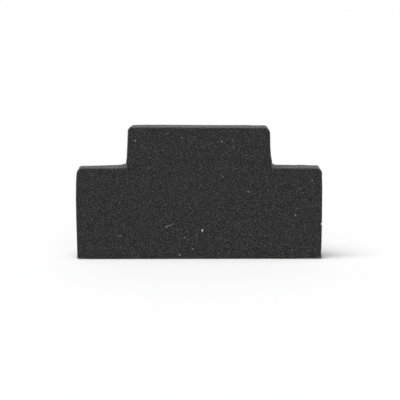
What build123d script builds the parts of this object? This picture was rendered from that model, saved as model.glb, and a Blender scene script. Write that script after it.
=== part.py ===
from build123d import *
import os

# A stepped block of open-cell filter foam, cut in one piece from sheet: a long body that stands on its
# straight edge, with a raised tab on its middle that leaves a shoulder at each end.
# Millimetres. X runs along the block, Y through the sheet and Z up. The origin is the centre of the
# edge that the block stands on.

# driving dimensions
block_width = 120.0
sheet_thickness = 20.0
body_height = 44.5
tab_width = 70.0
tab_height = 20.0
outer_corner_radius = 2.5
tab_root_radius = 2.0

overall_height = body_height + tab_height


def corners_at(outline, half_width, height):
    """The outline's left and right corners at one height. The sketch is drawn flat: its Y is the block's Z."""
    at_height = outline.vertices().filter_by_position(Axis.Y, height, height)
    return [corner for corner in at_height if abs(abs(corner.X) - half_width) < 1e-6]


def foam_profile():
    """The cut outline: a body with a centred tab, rounded at the top and sharp at the bottom."""
    with BuildSketch(Plane.XZ) as outline:
        Rectangle(block_width, body_height, align=(Align.CENTER, Align.MIN))
        Rectangle(tab_width, overall_height, align=(Align.CENTER, Align.MIN))
        fillet(corners_at(outline, tab_width / 2, body_height), radius=tab_root_radius)
        fillet(corners_at(outline, tab_width / 2, overall_height), radius=outer_corner_radius)
        fillet(corners_at(outline, block_width / 2, body_height), radius=outer_corner_radius)
    return outline.sketch


def foam_block():
    """The one piece: the outline cut straight through the sheet, centred on the origin in Y."""
    return extrude(foam_profile(), amount=sheet_thickness / 2, both=True)


def write_part(node, shape):
    """Write one sub-part to parts/NODE.step."""
    shape.label = node
    export_step(shape, os.path.join("parts", node + ".step"))


os.makedirs("parts", exist_ok=True)
write_part("foam_block", foam_block())
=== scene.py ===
import math

import bpy
import numpy as np
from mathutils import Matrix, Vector
from mathutils.geometry import delaunay_2d_cdt
from mathutils.kdtree import KDTree


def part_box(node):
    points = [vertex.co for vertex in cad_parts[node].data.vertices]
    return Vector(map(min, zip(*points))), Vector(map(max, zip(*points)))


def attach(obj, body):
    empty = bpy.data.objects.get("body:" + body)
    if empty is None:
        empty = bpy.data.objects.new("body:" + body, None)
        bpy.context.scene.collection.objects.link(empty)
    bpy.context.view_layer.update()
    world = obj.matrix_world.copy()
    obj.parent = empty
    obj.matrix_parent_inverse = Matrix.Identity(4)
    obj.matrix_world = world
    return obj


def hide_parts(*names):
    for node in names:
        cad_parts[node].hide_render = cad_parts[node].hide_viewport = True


# A stepped block of black open-cell foam, which stands on a white table. Its whole surface is a mesh of
# cut-open cells: each cell is a small pit, and the struts between cells are the ridges.
# Lengths are millimetres until the mesh is made, which is in metres. X runs along the block, Y away from
# the camera and Z up. Angles are degrees until they are used.

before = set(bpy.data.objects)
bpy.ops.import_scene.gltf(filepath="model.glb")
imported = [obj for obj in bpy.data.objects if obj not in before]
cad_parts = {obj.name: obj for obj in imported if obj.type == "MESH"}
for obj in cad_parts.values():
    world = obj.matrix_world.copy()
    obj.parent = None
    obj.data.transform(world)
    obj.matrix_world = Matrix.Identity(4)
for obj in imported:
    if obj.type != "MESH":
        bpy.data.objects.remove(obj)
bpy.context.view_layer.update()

MM = 0.001
block_low, block_high = [[value / MM for value in corner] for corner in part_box("foam_block")]

# The block. Its size comes from the CAD node, and its step from the same dimensions as the CAD.
HALF_WIDTH = (block_high[0] - block_low[0]) / 2
HALF_DEPTH = (block_high[1] - block_low[1]) / 2
DEPTH = 2 * HALF_DEPTH
TOP = block_high[2]
TAB_HEIGHT = 20.0
SHOULDER = TOP - TAB_HEIGHT
HALF_TAB = 35.0

# Soft foam doesn't cut evenly, so each corner has its own radius, on the front face and on the back one:
# the two bottom corners, then the right shoulder, right root, right and left top, left root, left shoulder.
FRONT_RADII = (0, 0, 2.8, 1.2, 3.0, 2.0, 0.8, 2.8)
BACK_RADII = (0, 0, 1.6, 3.2, 2.2, 3.0, 2.6, 1.8)
CORNER_STEPS = 10

# Where the faces meet the cut edges, the foam rolls off a little. The edges that it stands on stay sharp,
# and the roll is full from this height up.
ROLL = 0.3
ROLL_REACH = 1.1
ROLL_FULL_HEIGHT = 1.0
# The ends, the top of the tab and the shoulders stand out by this much, to make up for their rolled edges.
LEFT_END_ALLOWANCE = 0.15
RIGHT_END_ALLOWANCE = 0.17
TAB_TOP_ALLOWANCE = 0.08
SHOULDER_ALLOWANCE = 0.12

# how far in from an end its lean reaches
LEAN_REACH = 12.0
# how hollow the cut edges are, and how far in from the ends and the top that reaches
HOLLOW = 0.22
HOLLOW_REACH = 4.0
# the slight swell of the two faces: its height, and the scale and start of its waves along X and Z
SWELL = 0.12
SWELL_SCALE = (17.0, 11.0)
SWELL_START = (0.6, 0.4)
# a small tear in the front right edge
TEAR_DEPTH = 0.8
TEAR_HEIGHT = 17.1
TEAR_GAP = 0.3

# The cells of the foam. RIM_STEP is the distance between points along the rim of a panel, and the three
# clearances keep the points of a panel from crowding each other.
CELL_PITCH = 0.62
CELL_JITTER = 0.3
RIM_STEP = 0.36
CLEAR_OF_RIM = 0.3 * CELL_PITCH
CLEAR_OF_CELL = 0.25 * CELL_PITCH
CLEAR_OF_STRUT = 0.16 * CELL_PITCH
PIT_DEPTH = 0.16
PIT_DEPTH_SPREAD = 0.05
PIT_DEPTH_LIMITS = (0.05, 0.27)
STRUT_UNEVENNESS = 0.02
RIM_WEAR = 0.1
SEED = 20
# the kinds of points in the mesh: where struts meet, the middle of a cell, and the rim of a panel
STRUT, CELL, RIM = 0, 1, 2
# points of two panels become one if they round to the same place, at this many steps to the millimetre
WELD_STEPS = 1e4
# the least distance between two points that the triangulation tells apart
SAME_POINT = 1e-6

# How light the foam is: its own charcoal on the struts, darkening into painted shade inside the open cells,
# where the voids lie in shade; each step is a depth into a cell and a brightness. How deep a point's
# painted shade goes is drawn between the numbers below, for the cells and for the rim points, and cut off
# at 0 and 1.
# The tone varies the brightness from point to point: it is drawn from a gamma distribution of this shape,
# less this much of the mean of each point's neighbours, and scaled back up.
STRUT_COLOUR_AND_PIT_SHADE = [(0, 0.053), (0.15, 0.034), (0.4, 0.013)]
CELL_SHADE_DEPTH = (0.4, 1.2)
RIM_SHADE_DEPTH = (-0.2, 0.3)
TONE_SHAPE = 9.0
TONE_EVENNESS = 0.6
TONE_LEAST = 0.1

# the fuzz of the struts: a fine noise for the bump and the roughness, and a sheen
FUZZ_PER_METRE = 4500
FUZZ_DETAIL = 3
FUZZ_STRENGTH = 0.6
FUZZ_HEIGHT = 0.06
ROUGHNESS = (0.7, 0.95)
GLOSS = 0.03
SHEEN = 0.8
SHEEN_ROUGHNESS = 0.4

# dust on the front face: X, Z, radius and strength, the largest first
FRONT_SPECKS = [
    (1.5, 14.0, 0.45, 1.0),
    (-8.5, 59.5, 0.3, 0.4),
    (-9.5, 2.0, 0.3, 0.45),
    (47.0, 21.5, 0.3, 0.4),
    (24.0, 33.0, 0.3, 0.4),
    (11.0, 57.5, 0.3, 0.35),
    (49.5, 34.5, 0.3, 0.4),
    (-3.0, 5.0, 0.3, 0.4),
    (-31.0, 58.0, 0.3, 0.3),
    (55.0, 38.5, 0.3, 0.3),
    (-7.0, 10.5, 0.3, 0.3),
    (-38.5, 11.5, 0.3, 0.3),
]
# fainter specks, one cell each, anywhere on the block
STRAY_SPECKS = 90
STRAY_STRENGTH = (0.1, 0.4)
# a short hair that lies across the front face: X and Z of its bends, and how it fades along its length
HAIR = [(-16.4, 15.5), (-14.9, 16.6), (-14.0, 16.4), (-12.9, 17.1), (-12.2, 18.0)]
HAIR_STRENGTH = 0.28
HAIR_FADE = 0.6
HAIR_STEPS = 10
# a point this close behind the front face counts as on it
FRONT_REACH = 0.5
DUST_GREY = 0.6

# The camera looks slightly down on the front face, from straight ahead but for a small turn. At the block,
# the picture is FIELD_WIDTH wide.
VIEW_DISTANCE = 890.0
VIEW_HEIGHT = 122.0
VIEW_TURN = 0.6
AIM_ACROSS = 0.43
AIM_HEIGHT = 29.0
FIELD_WIDTH = 194.8
SENSOR_WIDTH = 36

# large soft lamps far away: name, azimuth and elevation seen from the block, and strength
LAMPS = [
    ("softbox_overhead_left", -45, 68, 1.98),
    ("softbox_overhead", 0, 88, 0.79),
    ("fill_in_front", 0, 30, 0.79),
    ("softbox_behind", 180, 30, 0.37),
]
LAMP_SPREAD = 50
# the surround's brightness at eye level and overhead, and between which heights it fades, of 1 straight up
SURROUND = 1.0
OVERHEAD = 0.03
FADE_HEIGHTS = (0.1, 0.4)

TABLE_HALF_METRES = 60.0
TABLE_GREY = 0.9


# ---------------------------------------------------------------- ramps

def smooth_step(value, low, high):
    """0 below low, 1 above high and a smooth rise between."""
    t = np.clip((value - low) / (high - low), 0, 1)
    return t * t * (3 - 2 * t)


def near(value, centre, reach):
    """1 at the centre, falling smoothly to almost nothing at twice the reach."""
    return np.exp(-(((value - centre) / reach) ** 2))


# ---------------------------------------------------------------- outline

def turn_corner(corner, before, after, radius):
    """Points around one square corner, from a run in the direction before to one in the direction after."""
    if radius == 0:
        return [corner]
    centre = corner - before * radius + after * radius
    angles = [math.pi / 2 * i / CORNER_STEPS for i in range(CORNER_STEPS + 1)]
    return [centre - after * radius * math.cos(a) + before * radius * math.sin(a) for a in angles]


def trace_outline(radii):
    """The outline in X and Z as evenly spaced points, from the bottom left corner anticlockwise."""
    corners = [
        Vector((-HALF_WIDTH, 0)),
        Vector((HALF_WIDTH, 0)),
        Vector((HALF_WIDTH, SHOULDER)),
        Vector((HALF_TAB, SHOULDER)),
        Vector((HALF_TAB, TOP)),
        Vector((-HALF_TAB, TOP)),
        Vector((-HALF_TAB, SHOULDER)),
        Vector((-HALF_WIDTH, SHOULDER)),
    ]
    turns = []
    for i, (corner, radius) in enumerate(zip(corners, radii)):
        before = (corner - corners[i - 1]).normalized()
        after = (corners[(i + 1) % len(corners)] - corner).normalized()
        turns.append(turn_corner(corner, before, after, radius))
    path = []
    for i, turn in enumerate(turns):
        following = (i + 1) % len(turns)
        path += turn
        count = round((corners[following] - corners[i]).length / RIM_STEP)
        path += [turn[-1].lerp(turns[following][0], k / count) for k in range(1, count)]
    return np.array(path)


def outward_normals(path):
    """Unit normals of a closed anticlockwise path, from the chord through each point's neighbours."""
    chord = np.roll(path, -1, axis=0) - np.roll(path, 1, axis=0)
    normals = np.column_stack([chord[:, 1], -chord[:, 0]])
    return normals / np.linalg.norm(normals, axis=1, keepdims=True)


def closed(path):
    """A path with its first point again at its end."""
    return np.vstack([path, path[:1]])


# ---------------------------------------------------------------- cells on a flat panel

def inside(points, rim):
    """True for each point inside the closed rim."""
    result = np.zeros(len(points), bool)
    x, y = points[:, 0], points[:, 1]
    for (x0, y0), (x1, y1) in zip(rim, np.roll(rim, -1, axis=0)):
        if y0 != y1:
            crosses = (y0 > y) != (y1 > y)
            result ^= crosses & (x < x0 + (y - y0) * (x1 - x0) / (y1 - y0))
    return result


def nearest_of(points, others):
    """For each point, which of the others is nearest and how far away it is."""
    tree = KDTree(len(others))
    for i, (x, y) in enumerate(others.tolist()):
        tree.insert((x, y, 0), i)
    tree.balance()
    found = [tree.find((x, y, 0)) for x, y in points.tolist()]
    return np.array([which for _, which, _ in found]), np.array([gap for _, _, gap in found])


def gap_to(points, others):
    """Each point's distance from the nearest of the others."""
    return nearest_of(points, others)[1]


def triangulate(points, rim_count):
    """Triangles of the points inside the closed rim, which is made of the first rim_count points."""
    rim_edges = [(i, (i + 1) % rim_count) for i in range(rim_count)]
    coords = [Vector(p) for p in points.tolist()]
    made = delaunay_2d_cdt(coords, rim_edges, [], 0, SAME_POINT, False)
    if len(made[0]) != len(points):
        raise RuntimeError("two points of a panel lie on each other")
    triangles = np.array(made[2])
    triangles = triangles[inside(points[triangles].mean(axis=1), points[:rim_count])]
    a, b, c = (points[triangles[:, k]] for k in range(3))
    area = (b[:, 0] - a[:, 0]) * (c[:, 1] - a[:, 1]) - (b[:, 1] - a[:, 1]) * (c[:, 0] - a[:, 0])
    triangles[area < 0] = triangles[area < 0][:, ::-1]
    return triangles


def jittered_lattice(low, high, rng):
    """Cell centres: a lattice of equilateral triangles with each point moved a little at random."""
    row_gap = CELL_PITCH * math.sqrt(3) / 2
    columns = np.arange(low[0], high[0], CELL_PITCH)
    rows = np.arange(low[1], high[1], row_gap)
    x, y = np.meshgrid(columns, rows)
    x = x + (np.arange(len(rows)) % 2 * CELL_PITCH / 2)[:, None]
    points = np.column_stack([x.ravel(), y.ravel()])
    return points + rng.uniform(-1, 1, points.shape) * CELL_JITTER * CELL_PITCH


def circumcentres(points, triangles):
    """The point where three struts meet, for each triangle of cell centres."""
    a, b, c = (points[triangles[:, k]] for k in range(3))
    ab, ac = b - a, c - a
    twice_area = 2 * (ab[:, 0] * ac[:, 1] - ab[:, 1] * ac[:, 0])
    ab2, ac2 = (ab**2).sum(axis=1), (ac**2).sum(axis=1)
    x = (ac[:, 1] * ab2 - ab[:, 1] * ac2) / twice_area
    y = (ab[:, 0] * ac2 - ac[:, 0] * ab2) / twice_area
    return a + np.column_stack([x, y])


def thin_out(points, gap):
    """Drops points that share a small square with an earlier one."""
    squares = np.floor(points / gap).astype(int)
    first = np.unique(squares, axis=0, return_index=True)[1]
    return points[np.sort(first)]


def panel_of_cells(rim, rng):
    """A flat panel inside a closed rim: its points, their kinds and its triangles."""
    centres = jittered_lattice(rim.min(axis=0), rim.max(axis=0), rng)
    centres = centres[inside(centres, rim)]
    centres = centres[gap_to(centres, rim) > CLEAR_OF_RIM]
    seeds = np.vstack([rim, centres])
    joints = circumcentres(seeds, triangulate(seeds, len(rim)))
    joints = joints[inside(joints, rim)]
    joints = joints[gap_to(joints, rim) > CLEAR_OF_RIM]
    joints = joints[gap_to(joints, centres) > CLEAR_OF_CELL]
    joints = thin_out(joints, CLEAR_OF_STRUT)
    points = np.vstack([rim, centres, joints])
    kinds = np.repeat([RIM, CELL, STRUT], [len(rim), len(centres), len(joints)])
    return points, kinds, triangulate(points, len(rim))


# ---------------------------------------------------------------- the block as it is cut

def roll_off(gap, z):
    """How far a point rolls inward where a face meets a cut edge, from its distance to where they meet."""
    return ROLL * np.clip(1 - gap / ROLL_REACH, 0, 1) ** 2 * smooth_step(z, 0, ROLL_FULL_HEIGHT)


def face_panel(outline, side, rng):
    """The front face, for a side of -1, or the back face, for 1, in three dimensions."""
    flat, kinds, triangles = panel_of_cells(outline, rng)
    nearest, gap = nearest_of(flat, outline)
    roll = roll_off(gap, flat[:, 1])
    flat = flat - outward_normals(outline)[nearest] * roll[:, None]
    points = np.column_stack([flat[:, 0], side * (HALF_DEPTH - roll), flat[:, 1]])
    normals = np.tile([0.0, side, 0.0], (len(flat), 1))
    return points, normals, kinds, triangles if side < 0 else triangles[:, ::-1]


def strip_rim(stretch):
    """The closed rim of a flat strip as deep as the block, with these places along its two long sides."""
    across = np.linspace(0, DEPTH, round(DEPTH / RIM_STEP) + 1)[1:-1]
    return np.vstack(
        [
            np.column_stack([stretch, np.zeros(len(stretch))]),
            np.column_stack([np.full(len(across), stretch[-1]), across]),
            np.column_stack([stretch[::-1], np.full(len(stretch), DEPTH)]),
            np.column_stack([np.full(len(across), stretch[0]), across[::-1]]),
        ]
    )


def blend_through(flat, along, front_values, back_values):
    """Values along the front and back outlines, blended through the sheet at each point of the strip."""
    through = flat[:, 1] / DEPTH
    blended = []
    for at_front, at_back in zip(front_values.T, back_values.T):
        front_part = np.interp(flat[:, 0], along, at_front) * (1 - through)
        back_part = np.interp(flat[:, 0], along, at_back) * through
        blended.append(front_part + back_part)
    return blended


def edge_panel(front, back, start, end, rng):
    """The cut edge of the sheet, from the front outline to the back one, between points start and end."""
    front_ring, back_ring = closed(front), closed(back)
    front_normals, back_normals = closed(outward_normals(front)), closed(outward_normals(back))
    steps = np.linalg.norm(np.diff(front_ring, axis=0), axis=1)
    along = np.concatenate([[0], np.cumsum(steps)])
    flat, kinds, triangles = panel_of_cells(strip_rim(along[start : end + 1]), rng)
    x, z = blend_through(flat, along, front_ring, back_ring)
    normal_x, normal_z = blend_through(flat, along, front_normals, back_normals)
    y = flat[:, 1] - HALF_DEPTH
    roll = roll_off(HALF_DEPTH - np.abs(y), z)
    points = np.column_stack([x - normal_x * roll, y - np.sign(y) * roll, z - normal_z * roll])
    normals = np.column_stack([normal_x, np.zeros(len(flat)), normal_z])
    return points, normals, kinds, triangles[:, ::-1]


def join_panels(panels):
    """One closed surface, with the points that the panels share along their rims made one."""
    panel_points, panel_normals, panel_kinds, panel_triangles = zip(*panels)
    points = np.vstack(panel_points)
    normals = np.vstack(panel_normals)
    kinds = np.concatenate(panel_kinds)
    offsets = np.cumsum([0] + [len(p) for p in panel_points[:-1]])
    triangles = np.vstack([t + offset for t, offset in zip(panel_triangles, offsets)])
    places = np.round(points * WELD_STEPS).astype(np.int64)
    first, merged = np.unique(places, axis=0, return_index=True, return_inverse=True)[1:]
    merged = merged.ravel()
    summed = np.zeros((len(first), 3))
    np.add.at(summed, merged, normals)
    summed /= np.linalg.norm(summed, axis=1, keepdims=True)
    return points[first], summed, kinds[first], merged[triangles]


def cut_block(rng):
    """The surface as the die leaves it: points, normals, kinds and triangles."""
    front, back = trace_outline(FRONT_RADII), trace_outline(BACK_RADII)
    right_foot = round(2 * HALF_WIDTH / RIM_STEP)
    return join_panels(
        [
            face_panel(front, -1, rng),
            face_panel(back, 1, rng),
            edge_panel(front, back, 0, right_foot, rng),
            edge_panel(front, back, right_foot, len(front), rng),
        ]
    )


def open_cells(points, normals, kinds, rng):
    """Sinks each cell's centre below the surface, and leaves the struts and rims a little uneven."""
    count = len(points)
    depth = rng.normal(PIT_DEPTH, PIT_DEPTH_SPREAD, count)
    sink = np.where(kinds == CELL, np.clip(depth, *PIT_DEPTH_LIMITS), 0)
    sink += np.where(kinds == STRUT, np.abs(rng.normal(0, STRUT_UNEVENNESS, count)), 0)
    sink += np.where(kinds == RIM, np.abs(rng.normal(0, RIM_WEAR, count)), 0)
    return points - normals * sink[:, None]


# ---------------------------------------------------------------- how the foam relaxes once it is cut

def lean_of_ends(x, z):
    """How far the two ends move in X: they pull in at their feet and shoulders."""
    left_foot = 0.47 * (1 - smooth_step(z, 0, 28))
    left_shoulder = 0.42 * smooth_step(z, SHOULDER - 9, SHOULDER) + 0.07 * near(z, 38, 6)
    right_foot = 0.22 * (1 - smooth_step(z, 2, 22)) + 0.16 * near(z, 3, 2)
    right_toe = -0.3 * near(z, 0, 0.6)
    right_shoulder = 0.15 * near(z, 41, 3)
    left_lean = left_foot + left_shoulder - LEFT_END_ALLOWANCE
    right_lean = right_foot + right_toe + right_shoulder - RIGHT_END_ALLOWANCE
    at_left = smooth_step(-x, HALF_WIDTH - LEAN_REACH, HALF_WIDTH)
    at_right = smooth_step(x, HALF_WIDTH - LEAN_REACH, HALF_WIDTH)
    return at_left * left_lean - at_right * right_lean


def tear_in_edge(x, y, z):
    """How far the tear cuts into the right end, in X."""
    at_front = smooth_step(-y, 4, 9)
    at_end = smooth_step(x, HALF_WIDTH - 1, HALF_WIDTH)
    return TEAR_DEPTH * near(z, TEAR_HEIGHT, TEAR_GAP) * at_front * at_end


def flare_of_tab(x, z):
    """How far the sides of the tab move in X: out at their roots, and in towards the top."""
    left = 0.34 - 0.62 * smooth_step(z, SHOULDER, TOP)
    right = 0.45 - 0.87 * smooth_step(z, SHOULDER, SHOULDER + 13) + 0.13 * near(z, SHOULDER + 13, 3)
    both = 0.22 * near(z, SHOULDER + 3, 2)
    at_side = near(np.abs(x), HALF_TAB, 8) * smooth_step(z, SHOULDER - 6, SHOULDER + 1)
    return np.sign(x) * at_side * (np.where(x > 0, right, left) + both)


def droop_of_tab(x, through, z):
    """How far the top of the tab droops, in Z: on the right, and near its corners at the back."""
    right = 0.17 * smooth_step(x, -16, 6) + 0.05 * smooth_step(x, 22, 30)
    corners = 0.08 * smooth_step(x, 24, 29) + 0.12 * near(x, -32, 2)
    return smooth_step(z, SHOULDER, TOP) * (right + through * corners - TAB_TOP_ALLOWANCE)


def droop_of_shoulders(x, through, z):
    """How far the shoulders droop, in Z, mostly at the back."""
    left = 0.45 * through * smooth_step(-x, HALF_TAB + 2, HALF_WIDTH - 4)
    left_root = -0.3 * near(x, -HALF_TAB - 2, 1.5)
    right = 0.1 * smooth_step(x, HALF_TAB, HALF_WIDTH) + 0.2 * through * smooth_step(x, 50, 56)
    right_dent = 0.12 * through * near(x, HALF_TAB + 12, 1.5)
    at_shoulder = smooth_step(z, SHOULDER - 12, SHOULDER) * (1 - smooth_step(z, SHOULDER + 1, SHOULDER + 6))
    return at_shoulder * (left + left_root + right + right_dent - SHOULDER_ALLOWANCE)


def lift_of_corners(x, z):
    """How far the bottom corners lift off the table, in Z."""
    left = 0.6 * smooth_step(-x, HALF_WIDTH - 7, HALF_WIDTH)
    right = 0.8 * smooth_step(x, HALF_WIDTH - 14, HALF_WIDTH)
    return (left + right) * (1 - smooth_step(z, 0, 4))


def relax_shape(points):
    """The small ways in which cut foam departs from its die."""
    x, y, z = points.T
    through = (y + HALF_DEPTH) / DEPTH
    # the knife squeezes the sheet, so that its cut edges come out a little hollow
    hollow = HOLLOW * (1 - (2 * through - 1) ** 2)
    hollow_end = np.sign(x) * hollow * smooth_step(np.abs(x), HALF_WIDTH - HOLLOW_REACH, HALF_WIDTH)
    hollow_top = hollow * smooth_step(z, TOP - HOLLOW_REACH, TOP)
    dx = lean_of_ends(x, z) + flare_of_tab(x, z) - tear_in_edge(x, y, z) - hollow_end
    dy = SWELL * np.sin(x / SWELL_SCALE[0] + SWELL_START[0]) * np.sin(z / SWELL_SCALE[1] + SWELL_START[1])
    droop = droop_of_tab(x, through, z) + droop_of_shoulders(x, through, z)
    dz = lift_of_corners(x, z) - droop - hollow_top
    return points + np.column_stack([dx, dy, dz])


# ---------------------------------------------------------------- what each point of the foam looks like

def trace_hair():
    """Closely spaced points along the hair on the front face: X, Z and strength."""
    stops = [Vector(stop) for stop in HAIR]
    pairs = list(zip(stops, stops[1:]))
    path = [a.lerp(b, k / HAIR_STEPS) for a, b in pairs for k in range(HAIR_STEPS)]
    return [(x, z, HAIR_STRENGTH * (1 - HAIR_FADE * i / len(path))) for i, (x, z) in enumerate(path)]


def dust(points, kinds, rng):
    """How much dust each point carries: specks and the hair on the front, and stray specks anywhere."""
    amount = np.zeros(len(points))
    on_front = points[:, 1] < -HALF_DEPTH + FRONT_REACH
    for x, z, strength in trace_hair():
        away = np.hypot(points[:, 0] - x, points[:, 2] - z)
        amount[np.argmin(np.where(on_front, away, np.inf))] = strength
    for x, z, radius, strength in FRONT_SPECKS:
        away = np.hypot(points[:, 0] - x, points[:, 2] - z)
        amount[on_front & (away < radius)] = strength
    strays = rng.choice(np.flatnonzero(kinds == CELL), STRAY_SPECKS, replace=False)
    amount[strays] = np.maximum(amount[strays], rng.uniform(*STRAY_STRENGTH, STRAY_SPECKS))
    return amount


def even_out(values, triangles):
    """Takes away most of what neighbouring points share, so that no patch is lighter than the next."""
    total = np.zeros(len(values))
    count = np.zeros(len(values))
    for one, other in zip(triangles.T, np.roll(triangles, -1, axis=1).T):
        np.add.at(total, one, values[other])
        np.add.at(count, one, 1)
    return (values - TONE_EVENNESS * total / count) / (1 - TONE_EVENNESS)


def add_number(mesh, name, values):
    """Stores one number for each vertex, for the material to read."""
    layer = mesh.attributes.new(name, "FLOAT", "POINT")
    layer.data.foreach_set("value", values.astype(np.float32))


def add_looks(mesh, points, kinds, triangles, rng):
    """Stores how deep the painted shade of each cell and rim point goes, its tone and its dust."""
    # painted shade inside the open cells, and a little along the rims, for the shade in the voids of the
    # foam
    cell_shade_depth = np.clip(rng.uniform(*CELL_SHADE_DEPTH, len(points)), 0, 1)
    rim_shade_depth = np.clip(rng.uniform(*RIM_SHADE_DEPTH, len(points)), 0, 1)
    add_number(mesh, "pit_shade", np.select([kinds == CELL, kinds == RIM], [cell_shade_depth, rim_shade_depth], 0))
    tone = even_out(rng.gamma(TONE_SHAPE, 1 / TONE_SHAPE, len(points)), triangles)
    add_number(mesh, "tone", np.maximum(tone, TONE_LEAST))
    add_number(mesh, "dust", dust(points, kinds, rng))


def sharpen_struts(mesh, kinds):
    """Smooth shading inside the cells, with a crease along each strut."""
    mesh.shade_smooth()
    ends = np.empty(len(mesh.edges) * 2, np.int32)
    mesh.edges.foreach_get("vertices", ends)
    is_strut = (kinds[ends.reshape(-1, 2)] != CELL).all(axis=1)
    sharp = mesh.attributes.new("sharp_edge", "BOOLEAN", "EDGE")
    sharp.data.foreach_set("value", is_strut)


def make_foam():
    """The block of foam, standing on the table."""
    rng = np.random.default_rng(SEED)
    points, normals, kinds, triangles = cut_block(rng)
    shaped = relax_shape(open_cells(points, normals, kinds, rng))
    shaped[:, 2] -= shaped[:, 2].min()
    mesh = bpy.data.meshes.new("open_cell_foam")
    mesh.from_pydata((shaped * MM).tolist(), [], triangles.tolist())
    mesh.update()
    add_looks(mesh, points, kinds, triangles, rng)
    sharpen_struts(mesh, kinds)
    mesh.materials.append(foam_material())
    foam = bpy.data.objects.new("open_cell_foam", mesh)
    bpy.context.scene.collection.objects.link(foam)
    return foam


# ---------------------------------------------------------------- materials

def new_material(name):
    """A new material and its main shader."""
    material = bpy.data.materials.new(name)
    material.use_nodes = True
    return material, material.node_tree.nodes["Principled BSDF"]


def read_number(nodes, name):
    """Reads one of the numbers that are stored on the mesh."""
    reader = nodes.new("ShaderNodeAttribute")
    reader.attribute_name = name
    return reader.outputs["Fac"]


def foam_colour(nodes, links):
    """Charcoal on the struts and painted shade, near-black, inside the cells, with each point's tone and
    dust.
    """
    shade = nodes.new("ShaderNodeValToRGB")
    steps = shade.color_ramp.elements
    # a third step, between the two that a new ramp has
    steps.new(0.5)
    for step, (depth, brightness) in zip(steps, STRUT_COLOUR_AND_PIT_SHADE):
        step.position = depth
        step.color = (brightness, brightness, brightness, 1)
    # the painted shade inside the cells, from the struts' own charcoal down to near-black
    links.new(read_number(nodes, "pit_shade"), shade.inputs["Fac"])

    toned = nodes.new("ShaderNodeVectorMath")
    toned.operation = "SCALE"
    links.new(shade.outputs["Color"], toned.inputs[0])
    links.new(read_number(nodes, "tone"), toned.inputs["Scale"])

    dusty = nodes.new("ShaderNodeMix")
    dusty.data_type = "RGBA"
    dusty.inputs["B"].default_value = (DUST_GREY, DUST_GREY, DUST_GREY, 1)
    links.new(read_number(nodes, "dust"), dusty.inputs["Factor"])
    links.new(toned.outputs["Vector"], dusty.inputs["A"])
    return dusty.outputs["Result"]


def foam_fuzz(nodes, links):
    """A fine noise in the block's own space."""
    place = nodes.new("ShaderNodeTexCoord")
    fuzz = nodes.new("ShaderNodeTexNoise")
    fuzz.inputs["Scale"].default_value = FUZZ_PER_METRE
    fuzz.inputs["Detail"].default_value = FUZZ_DETAIL
    links.new(place.outputs["Object"], fuzz.inputs["Vector"])
    return fuzz.outputs["Fac"]


def foam_material():
    """Matte black foam, with fuzzy struts."""
    material, shader = new_material("charcoal_open_cell_foam")
    nodes, links = material.node_tree.nodes, material.node_tree.links
    links.new(foam_colour(nodes, links), shader.inputs["Base Color"])

    fuzz = foam_fuzz(nodes, links)
    bump = nodes.new("ShaderNodeBump")
    bump.inputs["Strength"].default_value = FUZZ_STRENGTH
    bump.inputs["Distance"].default_value = FUZZ_HEIGHT * MM
    links.new(fuzz, bump.inputs["Height"])
    links.new(bump.outputs["Normal"], shader.inputs["Normal"])

    rough = nodes.new("ShaderNodeMapRange")
    rough.inputs["To Min"].default_value = ROUGHNESS[0]
    rough.inputs["To Max"].default_value = ROUGHNESS[1]
    links.new(fuzz, rough.inputs["Value"])
    links.new(rough.outputs["Result"], shader.inputs["Roughness"])
    shader.inputs["Specular IOR Level"].default_value = GLOSS
    shader.inputs["Sheen Weight"].default_value = SHEEN
    shader.inputs["Sheen Roughness"].default_value = SHEEN_ROUGHNESS
    return material


def table_material():
    """Plain white, without gloss."""
    material, shader = new_material("white_table")
    shader.inputs["Base Color"].default_value = (TABLE_GREY, TABLE_GREY, TABLE_GREY, 1)
    shader.inputs["Roughness"].default_value = 1.0
    shader.inputs["Specular IOR Level"].default_value = 0.0
    return material


# ---------------------------------------------------------------- studio

def place_camera():
    """The one camera, aimed near the middle of the front face."""
    data = bpy.data.cameras.new("camera")
    camera = bpy.data.objects.new("camera", data)
    bpy.context.scene.collection.objects.link(camera)
    turn = math.radians(VIEW_TURN)
    aim = Vector((AIM_ACROSS, -HALF_DEPTH, AIM_HEIGHT))
    away = Vector((-math.sin(turn), -math.cos(turn), 0)) * VIEW_DISTANCE
    eye = Vector((aim.x, aim.y, 0)) + away + Vector((0, 0, VIEW_HEIGHT))
    camera.location = eye * MM
    camera.rotation_euler = (aim - eye).to_track_quat("-Z", "Y").to_euler()
    data.sensor_width = SENSOR_WIDTH
    data.lens = SENSOR_WIDTH * (aim - eye).length / FIELD_WIDTH
    data.clip_start = 0.01
    data.clip_end = 200
    bpy.context.scene.camera = camera


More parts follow.
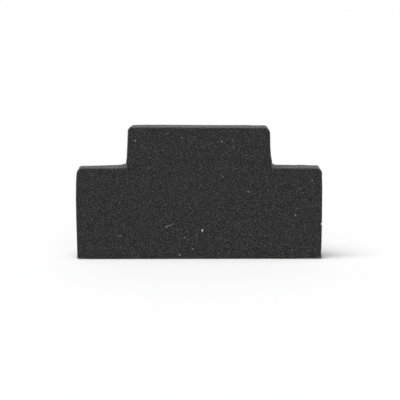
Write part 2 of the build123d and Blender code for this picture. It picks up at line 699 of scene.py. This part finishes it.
def make_table():
    """A table so large that its far edge is at the horizon."""
    half = TABLE_HALF_METRES
    mesh = bpy.data.meshes.new("table")
    corners = [(-half, -half, 0), (half, -half, 0), (half, half, 0), (-half, half, 0)]
    mesh.from_pydata(corners, [], [(0, 1, 2, 3)])
    table = bpy.data.objects.new("table", mesh)
    bpy.context.scene.collection.objects.link(table)
    mesh.materials.append(table_material())


def add_lamp(name, azimuth, elevation, strength):
    """A large soft lamp far away, seen from the block at these angles. Azimuth 0 is over the camera."""
    data = bpy.data.lights.new(name, "SUN")
    data.angle = math.radians(LAMP_SPREAD)
    data.energy = strength
    lamp = bpy.data.objects.new(name, data)
    turn, rise = math.radians(azimuth), math.radians(elevation)
    toward = Vector((math.sin(turn) * math.cos(rise), -math.cos(turn) * math.cos(rise), math.sin(rise)))
    lamp.rotation_euler = toward.to_track_quat("Z", "Y").to_euler()
    bpy.context.scene.collection.objects.link(lamp)


def white_surround():
    """A studio that is white all round at eye level and darker overhead, where the lamps are."""
    world = bpy.data.worlds.new("white_surround")
    world.use_nodes = True
    nodes, links = world.node_tree.nodes, world.node_tree.links
    direction = nodes.new("ShaderNodeTexCoord")
    split = nodes.new("ShaderNodeSeparateXYZ")
    links.new(direction.outputs["Generated"], split.inputs["Vector"])
    fade = nodes.new("ShaderNodeMapRange")
    fade.interpolation_type = "SMOOTHSTEP"
    fade.inputs["From Min"].default_value = FADE_HEIGHTS[0]
    fade.inputs["From Max"].default_value = FADE_HEIGHTS[1]
    fade.inputs["To Min"].default_value = SURROUND
    fade.inputs["To Max"].default_value = OVERHEAD
    links.new(split.outputs["Z"], fade.inputs["Value"])
    background = nodes["Background"]
    background.inputs["Color"].default_value = (1, 1, 1, 1)
    links.new(fade.outputs["Result"], background.inputs["Strength"])
    bpy.context.scene.world = world


def light_studio():
    """The surround, the lamps, and a plain view of what they light."""
    white_surround()
    for name, azimuth, elevation, strength in LAMPS:
        add_lamp(name, azimuth, elevation, strength)
    bpy.context.scene.view_settings.view_transform = "Standard"


place_camera()
foam = make_foam()
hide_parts("foam_block")
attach(foam, "root")
make_table()
light_studio()
